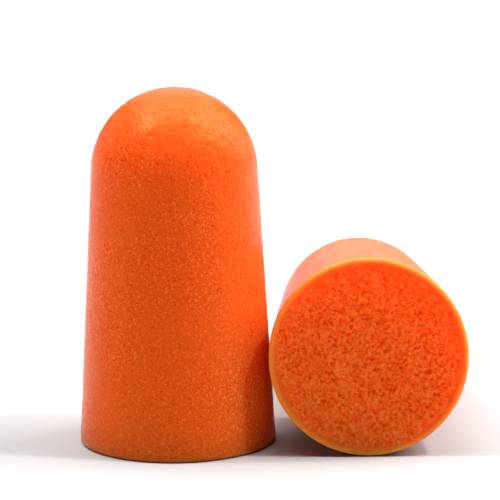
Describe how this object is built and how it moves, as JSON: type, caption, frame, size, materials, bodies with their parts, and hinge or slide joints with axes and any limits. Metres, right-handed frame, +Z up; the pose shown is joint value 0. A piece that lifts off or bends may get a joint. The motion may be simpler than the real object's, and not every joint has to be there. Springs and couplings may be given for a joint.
{
  "type": "foam ear plugs",
  "caption": "Tapered soft-foam ear plugs with a flat end and a domed tip, one upright and its twin on its side, squeezed thin to seal the ear canal against noise.",
  "frame": {"origin": "centre of the standing plug's flat end, on the surface that both plugs rest on", "axes": "+Z up along the standing plug's axis towards its domed tip; the lying plug is at +X, with its flat end facing -Y and its domed tip pointing +Y"},
  "size_m": [0.0255, 0.0251, 0.0235],
  "materials": {
    "foam": "matte"
  },
  "bodies": {
    "standing_plug": {"standing_plug": "foam"},
    "lying_plug": {"lying_plug": "foam"}
  },
  "joints": [
    {"name": "lying_plug_lift", "type": "slide", "parent": "standing_plug", "child": "lying_plug", "axis": [0, 0, 1], "range_m": [0, 0.03]}
  ]
}
